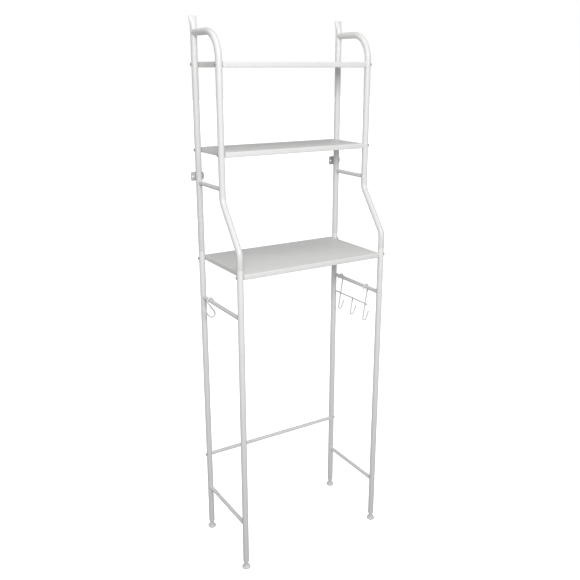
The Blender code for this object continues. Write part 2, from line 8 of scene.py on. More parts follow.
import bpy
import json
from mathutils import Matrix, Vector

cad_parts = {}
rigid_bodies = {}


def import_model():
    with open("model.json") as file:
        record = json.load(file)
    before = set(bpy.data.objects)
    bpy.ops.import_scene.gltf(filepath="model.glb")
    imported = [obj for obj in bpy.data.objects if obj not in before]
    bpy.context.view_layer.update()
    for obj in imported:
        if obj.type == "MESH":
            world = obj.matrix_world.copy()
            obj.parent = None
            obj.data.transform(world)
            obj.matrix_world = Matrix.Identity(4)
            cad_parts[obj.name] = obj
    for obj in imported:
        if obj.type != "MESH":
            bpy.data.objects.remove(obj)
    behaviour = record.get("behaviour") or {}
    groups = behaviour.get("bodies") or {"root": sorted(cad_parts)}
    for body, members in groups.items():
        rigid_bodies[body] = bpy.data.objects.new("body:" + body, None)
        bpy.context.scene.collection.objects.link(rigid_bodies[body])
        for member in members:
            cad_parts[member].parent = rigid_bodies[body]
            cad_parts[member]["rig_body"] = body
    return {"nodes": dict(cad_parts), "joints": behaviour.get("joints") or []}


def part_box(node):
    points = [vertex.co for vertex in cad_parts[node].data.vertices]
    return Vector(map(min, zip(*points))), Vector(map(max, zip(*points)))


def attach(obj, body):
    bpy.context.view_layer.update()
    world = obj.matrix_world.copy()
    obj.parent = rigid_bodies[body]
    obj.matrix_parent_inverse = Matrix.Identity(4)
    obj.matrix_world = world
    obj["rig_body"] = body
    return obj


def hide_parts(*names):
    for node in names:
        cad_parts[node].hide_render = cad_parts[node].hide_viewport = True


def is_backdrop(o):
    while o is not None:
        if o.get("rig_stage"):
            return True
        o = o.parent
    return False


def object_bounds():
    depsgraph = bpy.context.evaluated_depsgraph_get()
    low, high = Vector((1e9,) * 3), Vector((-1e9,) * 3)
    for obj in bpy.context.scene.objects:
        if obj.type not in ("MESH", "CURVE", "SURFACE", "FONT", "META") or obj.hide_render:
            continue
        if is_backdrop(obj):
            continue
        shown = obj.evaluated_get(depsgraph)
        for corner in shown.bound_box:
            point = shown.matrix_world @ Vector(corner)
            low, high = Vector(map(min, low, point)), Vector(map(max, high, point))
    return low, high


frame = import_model()
CAD_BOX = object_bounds()

# %% [markdown]
# ## Sizes read from the frame
# A part's box gives its place, so nothing here repeats a place that the frame knows. What
# a box can't give, such as a bend's radius, is a named value where it is first used.

# %% Sizes
import json
import math

import bpy
from mathutils import Matrix, Vector

MM = 0.001


def middle(node):
    low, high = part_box(node)
    return (low + high) / 2


leg_low, leg_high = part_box("right_rear_leg")
TUBE_R = (leg_high.x - leg_low.x) / 2
HALF_X = middle("right_rear_leg").x
REAR_Y = middle("right_rear_leg").y
FRONT_Y = middle("right_front_leg").y
UPPER_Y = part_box("middle_shelf")[0].y + TUBE_R
BAR_R = (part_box("right_hook_bar")[1].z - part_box("right_hook_bar")[0].z) / 2
SIDES = {"left": -1, "right": 1}
print(f"tube {2000 * TUBE_R:.1f} mm, bar {2000 * BAR_R:.1f} mm, half width {HALF_X:.3f} m")

# %% [markdown]
# ## Working as by hand
# Every piece starts as one of Blender's primitives and is shaped in edit mode. An operator
# acts on whatever is selected, so each piece starts with nothing selected, and faces or
# edges are then picked by their place.

# %% Edit-mode helpers


def start_clean():
    if bpy.context.mode != "OBJECT":
        bpy.ops.object.mode_set(mode="OBJECT")
    bpy.ops.object.select_all(action="DESELECT")


def edit():
    bpy.ops.object.mode_set(mode="EDIT")


def rest():
    bpy.ops.object.mode_set(mode="OBJECT")
    return bpy.context.object


def pick(kind, test):
    """In edit mode, selects the verts, edges or faces that pass a test of their own."""
    bpy.ops.mesh.select_mode(type=kind)
    bpy.ops.mesh.select_all(action="DESELECT")
    mesh = rest().data
    for item in {"VERT": mesh.vertices, "EDGE": mesh.edges, "FACE": mesh.polygons}[kind]:
        item.select = test(mesh, item)
    edit()


def edge_middle(mesh, edge):
    a, b = edge.vertices
    return (mesh.vertices[a].co + mesh.vertices[b].co) / 2


def apply_modifier(obj, kind, **settings):
    modifier = obj.modifiers.new(kind.lower(), kind)
    for name, value in settings.items():
        setattr(modifier, name, value)
    bpy.context.view_layer.objects.active = obj
    bpy.ops.object.modifier_apply(modifier=modifier.name)


print("edit helpers start from", bpy.context.mode, "mode")

# %% [markdown]
# ## Finishing a piece
# The last steps are the same for every piece. Its place is moved into its mesh, doubled
# points are merged, the faces are turned outward and smooth shading stops at real edges.
# Then the piece rides on the body that its CAD part belongs to, and stands for that part.

# %% Finish helper
SMOOTH_BELOW = math.radians(32)
MERGE_DISTANCE = 0.005 * MM
made = []


def finish(obj, name, material, node=None, body=None):
    start_clean()
    obj.name = name
    obj.data.name = name
    bpy.context.view_layer.objects.active = obj
    obj.select_set(True)
    bpy.ops.object.transform_apply(location=True, rotation=True, scale=True)
    edit()
    bpy.ops.mesh.select_all(action="SELECT")
    bpy.ops.mesh.remove_doubles(threshold=MERGE_DISTANCE)
    bpy.ops.mesh.normals_make_consistent(inside=False)
    rest()
    bpy.ops.object.shade_smooth_by_angle(angle=SMOOTH_BELOW)
    obj.data.materials.clear()
    obj.data.materials.append(material)
    if node:
        body = frame["nodes"][node]["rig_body"]
        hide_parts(node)
    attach(obj, body)
    made.append(obj)
    return obj


def copy_to(source, matrix):
    """A copy with its own mesh, moved to its place."""
    obj = source.copy()
    obj.data = source.data.copy()
    obj.data.transform(matrix)
    bpy.context.collection.objects.link(obj)
    return obj


print(f"edges under {math.degrees(SMOOTH_BELOW):.0f} degrees are shaded smooth")

# %% [markdown]
# ## Materials: helpers
# Colours are written as sRGB hex, as on a paint card, and one function turns them into the
# linear values that a shader wants. One more function adds a node, with its settings and
# its links.

# %% Material helpers


def from_hex(code):
    shares = [int(code[i : i + 2], 16) / 255 for i in (1, 3, 5)]
    linear = [c / 12.92 if c <= 0.04045 else ((c + 0.055) / 1.055) ** 2.4 for c in shares]
    return (*linear, 1.0)


def add_node(tree, kind, settings=None, links=None):
    node = tree.nodes.new("ShaderNode" + kind)
    for name, value in (settings or {}).items():
        if isinstance(name, int) or name in node.inputs:
            node.inputs[name].default_value = value
        else:
            setattr(node, name, value)
    for socket, source in (links or {}).items():
        tree.links.new(source, node.inputs[socket])
    return node


def new_material(name, settings):
    """A material with one Principled shader, the shader's node tree and object coordinates."""
    material = bpy.data.materials.new(name)
    material.use_nodes = True
    tree = material.node_tree
    shader = tree.nodes["Principled BSDF"]
    for socket, value in settings.items():
        shader.inputs[socket].default_value = value
    place = add_node(tree, "TexCoord").outputs["Object"]
    return material, tree, shader, place


def per_metre(size_mm):
    """The Scale at which a noise has features of this size."""
    return 1000 / size_mm


print("a pattern of 2 mm has noise scale", per_metre(2))

# %% [markdown]
# ## White powder coat
# The tubes and shelves are mild steel with a baked polyester powder coat. The powder melts
# into a film about 0.08 mm thick that sets with a very shallow ripple, called orange peel,
# 1 to 3 mm across. That ripple breaks a highlight up softly. Where the film ran thicker it
# is a little glossier and whiter, over patches of some centimetres.

# %% Powder coat: colour and gloss
COAT_WHITE = "#EAEAE9"
COAT_THIN = "#E1E1E0"
PATCH_MM = 45
GLOSSIER = 0.04
DULLER = 0.05


def tint_coat(tree, shader, place, roughness):
    """Patches where the film ran thicker, which are whiter and glossier."""
    patches = add_node(
        tree, "TexNoise",
        {"Scale": per_metre(PATCH_MM), "Detail": 3.0, "Roughness": 0.55}, {"Vector": place},
    ).outputs["Fac"]
    # A Mix node set to colour keeps its two colours at inputs 6 and 7, and gives output 2.
    tint = add_node(
        tree, "Mix", {"data_type": "RGBA", 6: from_hex(COAT_THIN), 7: from_hex(COAT_WHITE)},
        {"Factor": patches},
    )
    tree.links.new(tint.outputs[2], shader.inputs["Base Color"])
    dull, glossy = roughness + DULLER, roughness - GLOSSIER
    gloss = add_node(
        tree, "MapRange", {"From Min": 0.3, "From Max": 0.7, "To Min": dull, "To Max": glossy},
        {"Value": patches},
    )
    tree.links.new(gloss.outputs["Result"], shader.inputs["Roughness"])


print("coat:", COAT_WHITE, "to", COAT_THIN, "over patches of", PATCH_MM, "mm")

# %% Powder coat: ripple
PEEL_MM = 1.9
PEEL_DEPTH = 0.05 * MM
FINE_PEEL_MM = 0.6
FINE_PEEL_DEPTH = 0.02 * MM
SHEET_WAVE_MM = 160
SHEET_WAVE_DEPTH = 1.2 * MM


def ripple_coat(tree, shader, place, layers):
    """Bumps laid over each other. A layer is (size in mm, detail, strength, depth)."""
    normal = {}
    for size_mm, detail, strength, depth in layers:
        noise = add_node(
            tree, "TexNoise", {"Scale": per_metre(size_mm), "Detail": detail}, {"Vector": place}
        )
        bump = add_node(
            tree, "Bump", {"Strength": strength, "Distance": depth},
            {"Height": noise.outputs["Fac"], **normal},
        )
        normal = {"Normal": bump.outputs["Normal"]}
    tree.links.new(normal["Normal"], shader.inputs["Normal"])


print("orange peel:", PEEL_MM, "and", FINE_PEEL_MM, "mm across")

# %% Powder coats


def powder_coat(name, peel, roughness, sheet_wave=0.0):
    material, tree, shader, place = new_material(name, {"IOR": 1.5, "Metallic": 0.0})
    tint_coat(tree, shader, place, roughness)
    layers = [(PEEL_MM, 1.5, peel, PEEL_DEPTH), (FINE_PEEL_MM, 1.0, peel * 0.5, FINE_PEEL_DEPTH)]
    if sheet_wave:
        layers.append((SHEET_WAVE_MM, 1.0, sheet_wave, SHEET_WAVE_DEPTH))
    ripple_coat(tree, shader, place, layers)
    return material


TUBE_COAT = powder_coat("white_powder_coat_on_tube", 0.35, 0.36)
SHEET_COAT = powder_coat("white_powder_coat_on_sheet", 0.3, 0.42, sheet_wave=0.25)
WIRE_COAT = powder_coat("white_powder_coat_on_wire", 0.25, 0.34)
print("powder coats:", TUBE_COAT.name, SHEET_COAT.name, WIRE_COAT.name)

# %% [markdown]
# ## Moulded plastic, zinc and bare steel
# The feet and their plugs are moulded polypropylene: a waxy light grey with the fine grain
# of a spark-eroded mould. Screws and brackets are zinc plated, a blotchy grey, duller than
# chrome. The sleeves inside the seams are bare drawn tube, which shows faint lines along it.

# %% A mottled surface


def mottled(name, settings, light, dark, patch_mm, roughness, spread, grain_mm, depth_mm, strength):
    """A surface whose colour and gloss change over patches, with a fine raised grain."""
    material, tree, shader, place = new_material(name, settings)
    patches = add_node(
        tree, "TexNoise", {"Scale": per_metre(patch_mm), "Detail": 4.0}, {"Vector": place}
    ).outputs["Fac"]
    ramp = add_node(tree, "ValToRGB", {}, {"Fac": patches})
    ramp.color_ramp.elements[0].position = 0.35
    ramp.color_ramp.elements[0].color = from_hex(dark)
    ramp.color_ramp.elements[1].position = 0.65
    ramp.color_ramp.elements[1].color = from_hex(light)
    tree.links.new(ramp.outputs["Color"], shader.inputs["Base Color"])
    gloss = add_node(
        tree, "MapRange", {"To Min": roughness - spread, "To Max": roughness + spread},
        {"Value": patches},
    )
    tree.links.new(gloss.outputs["Result"], shader.inputs["Roughness"])
    grain = add_node(
        tree, "TexNoise", {"Scale": per_metre(grain_mm), "Detail": 2.0}, {"Vector": place}
    ).outputs["Fac"]
    bump = add_node(
        tree, "Bump", {"Strength": strength, "Distance": depth_mm * MM}, {"Height": grain}
    )
    tree.links.new(bump.outputs["Normal"], shader.inputs["Normal"])
    return material


print("mottled surfaces have patches, gloss and a raised grain")

# %% Plastic and metals
PLASTIC_GREY = "#E4E4E2"
PLASTIC_DARK = "#D8D8D6"
ZINC_LIGHT = "#D8D9D7"
ZINC_DARK = "#B4B5B3"
STEEL_GREY = "#8C8B88"
STEEL_DARK = "#6F6E6B"

FOOT_PLASTIC = mottled(
    "moulded_polypropylene", {"IOR": 1.49}, PLASTIC_GREY, PLASTIC_DARK,
    patch_mm=9, roughness=0.48, spread=0.06, grain_mm=0.35, depth_mm=0.02, strength=0.5,
)
ZINC = mottled(
    "zinc_plated_steel", {"Metallic": 0.35}, ZINC_LIGHT, ZINC_DARK,
    patch_mm=1.6, roughness=0.5, spread=0.1, grain_mm=0.3, depth_mm=0.008, strength=0.4,
)
BARE_STEEL = mottled(
    "bare_drawn_steel", {"Metallic": 1.0}, STEEL_GREY, STEEL_DARK,
    patch_mm=6, roughness=0.42, spread=0.1, grain_mm=0.4, depth_mm=0.01, strength=0.4,
)
print("materials:", FOOT_PLASTIC.name, ZINC.name, BARE_STEEL.name)

# %% [markdown]
# ## Drawing a tube
# A tube bender feeds straight tube and wraps it round a former. The same two moves make
# every tube, bar and wire here: a ring of points is extruded along a run, and spun round
# the centre of each bend. The real tubes are 18 mm outside with a 1 mm wall, so a Solidify
# gives the skin its wall, and a small bevel rounds the sawn ends.

# %% Tube helper
TUBE_SIDES = 48
BAR_SIDES = 36
WIRE_SIDES = 24
BEND_STEP = 5.0


def draw_tube(start, heading, moves, radius, sides, turn_axis=(1, 0, 0)):
    """Leaves the ring's path as an open skin. A move is (length, 0) or (bend radius, degrees)."""
    place, heading, axis = Vector(start), Vector(heading).normalized(), Vector(turn_axis)
    start_clean()
    bpy.ops.mesh.primitive_circle_add(
        vertices=sides, radius=radius, fill_type="NOTHING", location=place,
        rotation=heading.to_track_quat("Z", "Y").to_euler(), enter_editmode=True,
    )
    for size, degrees in moves:
        if degrees == 0:
            step = heading * size
            bpy.ops.mesh.extrude_region_move(TRANSFORM_OT_translate={"value": step})
            place = place + step
            continue
        turn = math.radians(degrees)
        centre = place + math.copysign(size, degrees) * axis.cross(heading)
        steps = max(2, round(abs(degrees) / BEND_STEP))
        bpy.ops.mesh.spin(steps=steps, angle=-turn, center=centre, axis=axis)
        swing = Matrix.Rotation(turn, 3, axis)
        place = centre + swing @ (place - centre)
        heading = swing @ heading
    return rest()


print("a bend takes a ring every", BEND_STEP, "degrees")

# %% Wall helpers
TUBE_WALL = 1.0 * MM
BAR_WALL = 0.8 * MM
SAWN_EDGE = 0.25 * MM


def face_out(obj):
    """Merges doubled rings and turns an open skin's faces outward, before it gets a wall."""
    start_clean()
    bpy.context.view_layer.objects.active = obj
    obj.select_set(True)
    bpy.ops.object.transform_apply(location=True, rotation=True, scale=True)
    edit()
    bpy.ops.mesh.select_all(action="SELECT")
    bpy.ops.mesh.remove_doubles(threshold=MERGE_DISTANCE)
    bpy.ops.mesh.normals_make_consistent(inside=False)
    rest()


def round_edges(obj, width, segments, above):
    """Rounds the edges that turn by more than this many degrees."""
    apply_modifier(
        obj, "BEVEL", width=width, segments=segments, limit_method="ANGLE",
        angle_limit=math.radians(above),
    )


def give_wall(obj, wall):
    face_out(obj)
    apply_modifier(obj, "SOLIDIFY", thickness=wall, offset=-1.0, use_even_offset=True)
    round_edges(obj, SAWN_EDGE, 2, 60)


print(f"walls: {TUBE_WALL / MM:.1f} mm for tubes and {BAR_WALL / MM:.1f} mm for bars")

# %% Coping helper


def drill_out(obj, radius, length, place, turn=(0, 0, 0), sides=TUBE_SIDES):
    """Takes a round hole out of a piece with a cylinder that is thrown away."""
    start_clean()
    bpy.ops.mesh.primitive_cylinder_add(
        vertices=sides, radius=radius, depth=length, location=place, rotation=turn
    )
    tool = bpy.context.object
    apply_modifier(obj, "BOOLEAN", operation="DIFFERENCE", solver="EXACT", object=tool)
    bpy.data.objects.remove(tool)


def cope(obj, x, y):
    """Cuts the tube's end to the round of an upright, as a hole saw does before welding."""
    low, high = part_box("left_rear_leg")[0].z, CAD_BOX[1].z
    drill_out(obj, TUBE_R, high - low + 0.1, (x, y, (low + high) / 2))


print(f"copes are {2 * TUBE_R / MM:.1f} mm across")

# %% [markdown]
# ## Legs and rear uprights
# Each rear upright is two straight tubes that meet just above the bottom shelf, where a
# sleeve inside lines them up. Above the arch, a press has pushed the tube's front in, so
# that its open end is an oval that still lies flat against the wall.

# %% Legs
for side in SIDES:
    for row in ("rear", "front"):
        node = f"{side}_{row}_leg"
        low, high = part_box(node)
        foot_end = (middle(node).x, middle(node).y, low.z)
        leg = draw_tube(foot_end, (0, 0, 1), [(high.z - low.z, 0)], TUBE_R, TUBE_SIDES)
        give_wall(leg, TUBE_WALL)
        finish(leg, node + "_tube", TUBE_COAT, node)
print("legs:", [o.name for o in made])

# %% Rear uprights with pressed tops
PRESS_START_Z = 1.577
PRESS_END_Z = 1.603
PRESS_THICKNESS = 10.0 * MM
PRESS_STEPS = 10


def press_oval(obj, x, start_z, end_z, half_width):
    """Slides each ring of points from round to oval, in proportion to its height."""
    for vertex in obj.data.vertices:
        share = min(max((vertex.co.z - start_z) / (end_z - start_z), 0.0), 1.0)
        share = share * share * (3 - 2 * share)
        wide = 1 + share * (half_width / TUBE_R - 1)
        thin = 1 + share * (PRESS_THICKNESS / 2 / TUBE_R - 1)
        back = REAR_Y + TUBE_R
        vertex.co.x = x + (vertex.co.x - x) * wide
        vertex.co.y = back - (back - vertex.co.y) * thin


for side in SIDES:
    node = f"{side}_rear_upper_upright"
    low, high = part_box(node)
    x = middle(node).x
    moves = [(PRESS_START_Z - low.z, 0)]
    moves += [((PRESS_END_Z - PRESS_START_Z) / PRESS_STEPS, 0)] * PRESS_STEPS
    moves += [(high.z - PRESS_END_Z, 0)]
    upright = draw_tube((x, REAR_Y, low.z), (0, 0, 1), moves, TUBE_R, TUBE_SIDES)
    face_out(upright)
    press_oval(upright, x, PRESS_START_Z, PRESS_END_Z, (high.x - low.x) / 2)
    give_wall(upright, TUBE_WALL)
    finish(upright, node + "_tube", TUBE_COAT, node)
print(f"rear uprights pressed to {PRESS_THICKNESS / MM:.1f} mm")

# %% [markdown]
# ## Front tubes: S-bend and arch
# The front tube rises from the seam, leans back through two equal bends so that the upper
# shelves are shallower, rises again, and bends over a large former to meet the rear upright.

# %% Front tubes
ARCH_BEND_R = 68 * MM
S_BEND_R = 45 * MM
S_BEND_ANGLE = 37.0
S_BEND_MIDDLE_Z = 1.062

lean = math.radians(S_BEND_ANGLE)
shift = UPPER_Y - FRONT_Y
slant = (shift - 2 * S_BEND_R * (1 - math.cos(lean))) / math.sin(lean)
half_height = S_BEND_R * math.sin(lean) + slant * math.cos(lean) / 2
arch_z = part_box("left_front_upper_tube")[1].z - TUBE_R
for side in SIDES:
    node = f"{side}_front_upper_tube"
    low_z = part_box(node)[0].z
    moves = [
        (S_BEND_MIDDLE_Z - half_height - low_z, 0),
        (S_BEND_R, -S_BEND_ANGLE),
        (slant, 0),
        (S_BEND_R, S_BEND_ANGLE),
        (arch_z - ARCH_BEND_R - S_BEND_MIDDLE_Z - half_height, 0),
        (ARCH_BEND_R, -90),
        (REAR_Y - UPPER_Y - ARCH_BEND_R, 0),
    ]
    x = middle(node).x
    tube = draw_tube((x, FRONT_Y, low_z), (0, 0, 1), moves, TUBE_R, TUBE_SIDES)
    give_wall(tube, TUBE_WALL)
    cope(tube, x, REAR_Y)
    finish(tube, node + "_tube", TUBE_COAT, node)
print("arch top at", round(arch_z, 3), "m")

# %% [markdown]
# ## Side bars and the rear crossbar
# Thin 12 mm bars tie the front and rear tubes of each side together. Their ends are sawn
# round to fit the tubes. The rear crossbar is made the same way, but is screwed on.

# %% Bars
BAR_FRONTS = {"upper_side_bar": UPPER_Y, "hook_bar": FRONT_Y, "floor_bar": FRONT_Y}
for side in SIDES:
    for kind, front_y in BAR_FRONTS.items():
        node = f"{side}_{kind}"
        centre = middle(node)
        start = (centre.x, front_y, centre.z)
        bar = draw_tube(start, (0, 1, 0), [(REAR_Y - front_y, 0)], BAR_R, BAR_SIDES)
        give_wall(bar, BAR_WALL)
        cope(bar, centre.x, front_y)
        cope(bar, centre.x, REAR_Y)
        finish(bar, node + "_tube", TUBE_COAT, node)

centre = middle("rear_crossbar")
crossbar = draw_tube(
    (-HALF_X, REAR_Y, centre.z), (1, 0, 0), [(2 * HALF_X, 0)], BAR_R, BAR_SIDES, (0, 0, 1)
)
give_wall(crossbar, BAR_WALL)
for sign in SIDES.values():
    cope(crossbar, sign * HALF_X, REAR_Y)
finish(crossbar, "rear_crossbar_tube", TUBE_COAT, "rear_crossbar")
print("bars:", sum("_bar_" in o.name for o in made), "side bars and one crossbar")

# %% [markdown]
# ## Weld beads
# Each bar is welded all round its end. The bead is a soft ring, a little over a millimetre
# high, whose surface ripples once for each pulse of the welder, and the coat smooths it
# over. A torus starts it. Its points then slide along the bar until the ring lies on the
# round of the upright.

# %% One weld bead
BEAD_R = 1.1 * MM
BEAD_RIPPLE = 0.22 * MM
BEAD_OUTSIDE_BAR = 0.25 * MM
ARCH_BEAD_INSIDE_TUBE = 0.5 * MM
ripple = bpy.data.textures.new("weld_ripple", "CLOUDS")
ripple.noise_scale = 1.8 * MM
ripple.noise_depth = 1


def weld_bead(name, x, y, z, toward, radius):
    """A bead round a bar of this radius, where it meets the upright at x, y."""
    start_clean()
    bpy.ops.mesh.primitive_torus_add(
        major_radius=radius + BEAD_OUTSIDE_BAR, minor_radius=BEAD_R, major_segments=56,
        minor_segments=10, rotation=(math.pi / 2, 0, 0), location=(x, y + toward * TUBE_R, z),
    )
    bead = bpy.context.object
    face_out(bead)
    for vertex in bead.data.vertices:
        across = min(abs(vertex.co.x - x), TUBE_R)
        vertex.co.y -= toward * (TUBE_R - math.sqrt(TUBE_R**2 - across**2))
    apply_modifier(
        bead, "DISPLACE", texture=ripple, strength=BEAD_RIPPLE, mid_level=0.5, texture_coords="LOCAL"
    )
    return finish(bead, name, TUBE_COAT, body="frame")


print(f"a bead's radius is {BEAD_R / MM:.1f} mm")

# %% Weld beads in their places
for side, sign in SIDES.items():
    x = sign * HALF_X
    for kind, front_y in BAR_FRONTS.items():
        z = middle(f"{side}_{kind}").z
        weld_bead(f"{side}_{kind}_weld_front", x, front_y, z, 1, BAR_R)
        weld_bead(f"{side}_{kind}_weld_rear", x, REAR_Y, z, -1, BAR_R)
    weld_bead(f"{side}_arch_weld", x, REAR_Y, arch_z, -1, TUBE_R - ARCH_BEAD_INSIDE_TUBE)
print("weld beads:", sum("_weld" in o.name for o in made))

# %% [markdown]
# ## Shelves
# A shelf is one sheet of 1 mm steel. A press folds its four sides down and then folds a
# hem inward, so no sharp edge is left. A flat plane is extruded down and inward round its
# outline, and the two fold lines are beveled to the press's bend radius.

# %% Folding a sheet
SHEET = 1.0 * MM
FOLD_R = 2.5 * MM
CORNER_R = 3.0 * MM
HEM = 8.0 * MM


def is_fold(mesh, edge, centre, size):
    """True for the level edges round the shelf's outline, at its top and at its lip's foot."""
    a, b = (mesh.vertices[i].co for i in edge.vertices)
    at = (a + b) / 2 - centre
    past = max(abs(at.x) - size.x / 2, abs(at.y) - size.y / 2)
    return abs(a.z - b.z) < 0.01 * MM and past > -1.5 * MM


def fold_sheet(centre, size):
    """Folds the four sides of a flat sheet down, and then a hem inward."""
    low_z, high_z = centre.z - size.z / 2, centre.z + size.z / 2
    start_clean()
    bpy.ops.mesh.primitive_plane_add(
        size=1, location=(centre.x, centre.y, high_z), enter_editmode=True
    )
    bpy.ops.transform.resize(value=(size.x, size.y, 1))
    bpy.ops.mesh.bevel(offset=CORNER_R, segments=6, affect="VERTICES")
    bpy.ops.mesh.select_all(action="SELECT")
    bpy.ops.mesh.region_to_loop()
    bpy.ops.mesh.extrude_edges_move(TRANSFORM_OT_translate={"value": (0, 0, -size.z)})
    bpy.ops.mesh.extrude_edges_move(TRANSFORM_OT_translate={"value": (0, 0, 0)})
    bpy.ops.transform.resize(
        value=((size.x - 2 * HEM) / size.x, (size.y - 2 * HEM) / size.y, 1),
        center_override=(centre.x, centre.y, low_z),
    )
    sheet = rest()
    face_out(sheet)
    edit()
    pick("EDGE", lambda mesh, edge: is_fold(mesh, edge, centre, size))
    bpy.ops.mesh.bevel(offset=FOLD_R, segments=6, affect="EDGES")
    rest()
    apply_modifier(sheet, "SOLIDIFY", thickness=SHEET, offset=-1.0, use_even_offset=True)
    return sheet


print(f"folds have a radius of {FOLD_R / MM:.1f} mm, and the hem is {HEM / MM:.1f} mm")

# %% Shelves in their places
for level in ("bottom", "middle", "top"):
    node = level + "_shelf"
    low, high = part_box(node)
    shelf = fold_sheet(middle(node), high - low)
    finish(shelf, node + "_sheet", SHEET_COAT, node)
print("shelves:", [o.name for o in made if o.name.endswith("_sheet")])

# %% [markdown]
# ## Screws
# The shelves hang on pan-head machine screws with a cross recess. One is modelled, with its
# head facing up, and copied to every place that the frame has a screw, turned outward.

# %% A screw's head
HEAD_R = 4.5 * MM
HEAD_HEIGHT = 2.6 * MM
HEAD_ROUNDING = 1.7 * MM
RECESS_WIDTH = 1.1 * MM
RECESS_ARM = 1.7 * MM
RECESS_LENGTH = 3.0 * MM


def cross_bit():
    """A driver bit with four arms, which draw in to half toward its tip."""
    start_clean()
    bpy.ops.mesh.primitive_cube_add(size=1, location=(0, 0, HEAD_HEIGHT))
    bit = bpy.context.object
    bit.scale = (RECESS_WIDTH, RECESS_WIDTH, RECESS_LENGTH)
    bpy.ops.object.transform_apply(scale=True)
    edit()
    pick("FACE", lambda mesh, face: abs(face.normal.z) < 0.5)
    bpy.ops.mesh.extrude_faces_move(TRANSFORM_OT_shrink_fatten={"value": RECESS_ARM})
    pick("VERT", lambda mesh, vertex: vertex.co.z < 0 and vertex.co.xy.length > 1 * MM)
    bpy.ops.transform.resize(value=(0.5, 0.5, 1), center_override=(0, 0, 0))
    return rest()


def screw_head():
    start_clean()
    bpy.ops.mesh.primitive_cylinder_add(
        vertices=40, radius=HEAD_R, depth=HEAD_HEIGHT, location=(0, 0, HEAD_HEIGHT / 2)
    )
    head = bpy.context.object
    edit()
    pick("EDGE", lambda mesh, edge: edge_middle(mesh, edge).z > HEAD_HEIGHT - 0.01 * MM)
    bpy.ops.mesh.bevel(offset=HEAD_ROUNDING, segments=7, affect="EDGES")
    rest()
    bit = cross_bit()
    apply_modifier(head, "BOOLEAN", operation="DIFFERENCE", solver="EXACT", object=bit)
    bpy.data.objects.remove(bit)
    return head


print(f"screw heads are {2 * HEAD_R / MM:.1f} mm across")

# %% A whole screw
SHANK_R = 2.0 * MM
SHANK_TIP = 0.6 * MM
THREADED = 7 * MM
THREAD_PITCH = 0.7 * MM
THREAD_ROOT = 0.82


def screw_shank(length):
    """A plain shank, then grooves drawn in and out, then a tip that draws in."""
    start_clean()
    bpy.ops.mesh.primitive_circle_add(
        vertices=20, radius=SHANK_R, fill_type="NOTHING", location=(0, 0, 0.2 * MM), enter_editmode=True
    )
    grooves = int(THREADED / THREAD_PITCH)
    plain = length - grooves * THREAD_PITCH - SHANK_TIP
    steps = [(plain, 1.0)]
    steps += [(THREAD_PITCH / 2, THREAD_ROOT), (THREAD_PITCH / 2, 1 / THREAD_ROOT)] * grooves
    for step, scale in [*steps, (SHANK_TIP, 0.7)]:
        bpy.ops.mesh.extrude_region_move(TRANSFORM_OT_translate={"value": (0, 0, -step)})
        bpy.ops.transform.resize(value=(scale, scale, 1))
    bpy.ops.mesh.select_all(action="SELECT")
    bpy.ops.mesh.fill_holes(sides=0)
    return rest()


def model_screw(length):
    head, shank = screw_head(), screw_shank(length)
    start_clean()
    head.select_set(True)
    shank.select_set(True)
    bpy.context.view_layer.objects.active = head
    bpy.ops.object.join()
    bpy.ops.object.transform_apply(location=True, rotation=True, scale=True)
    return bpy.context.object


print(f"threads have a pitch of {THREAD_PITCH / MM:.1f} mm")

# %% Screws in their places
screw_nodes = sorted(n for n in frame["nodes"] if n.endswith("_screw"))
masters = {}
for node in screw_nodes:
    low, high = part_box(node)
    length = round(high.x - low.x - HEAD_HEIGHT, 4)
    if length not in masters:
        masters[length] = model_screw(length)
    sign = 1 if low.x > 0 else -1
    seat = Vector(((high.x if sign > 0 else low.x) - sign * HEAD_HEIGHT, middle(node).y, middle(node).z))
    turn = Matrix.Rotation(sign * math.pi / 2, 4, "Y") @ Matrix.Rotation(0.4 * len(made), 4, "Z")
    screw = copy_to(masters[length], Matrix.Translation(seat) @ turn)
    finish(screw, node + "_finished", ZINC, node)
for master in masters.values():
    bpy.data.objects.remove(master)
print("screws:", len(screw_nodes))

# %% [markdown]
# ## Wall brackets
# A zinc plated plate stands between each rear upright and the wall, and shows as an ear
# beside the tube, with a hole for the wall screw. A plane is stood up and sized, its
# corners are rounded, a Solidify gives it the sheet's thickness, and the hole is drilled.

# %% Wall brackets
BRACKET_SQUARE_CORNER = 3.0 * MM
BRACKET_ROUND_CORNER = 9.5 * MM
BRACKET_HOLE_R = 2.2 * MM
BRACKET_HOLE_ALONG_EAR = 5.8 * MM

for side in SIDES:
    node = side + "_wall_bracket"
    low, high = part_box(node)
    centre, size = middle(node), high - low
    start_clean()
    bpy.ops.mesh.primitive_plane_add(
        size=1, location=(centre.x, low.y, centre.z), rotation=(math.pi / 2, 0, 0)
    )
    plate = bpy.context.object
    plate.scale = (size.x, size.z, 1)
    bpy.ops.object.transform_apply(location=True, rotation=True, scale=True)
    edit()
    for sign, corner in ((-1, BRACKET_SQUARE_CORNER), (1, BRACKET_ROUND_CORNER)):
        pick("VERT", lambda mesh, v: abs(v.co.x - centre.x - sign * size.x / 2) < 0.1 * MM)
        bpy.ops.mesh.bevel(offset=corner, segments=8, affect="VERTICES")
    rest()
    apply_modifier(plate, "SOLIDIFY", thickness=size.y, offset=-1.0)
    hole = (centre.x - TUBE_R - BRACKET_HOLE_ALONG_EAR, centre.y, centre.z)
    drill_out(plate, BRACKET_HOLE_R, 20 * MM, hole, (math.pi / 2, 0, 0), sides=32)
    round_edges(plate, SAWN_EDGE, 2, 50)
    finish(plate, node + "_plate", ZINC, node)
print("brackets:", [o.name for o in made[-2:]])

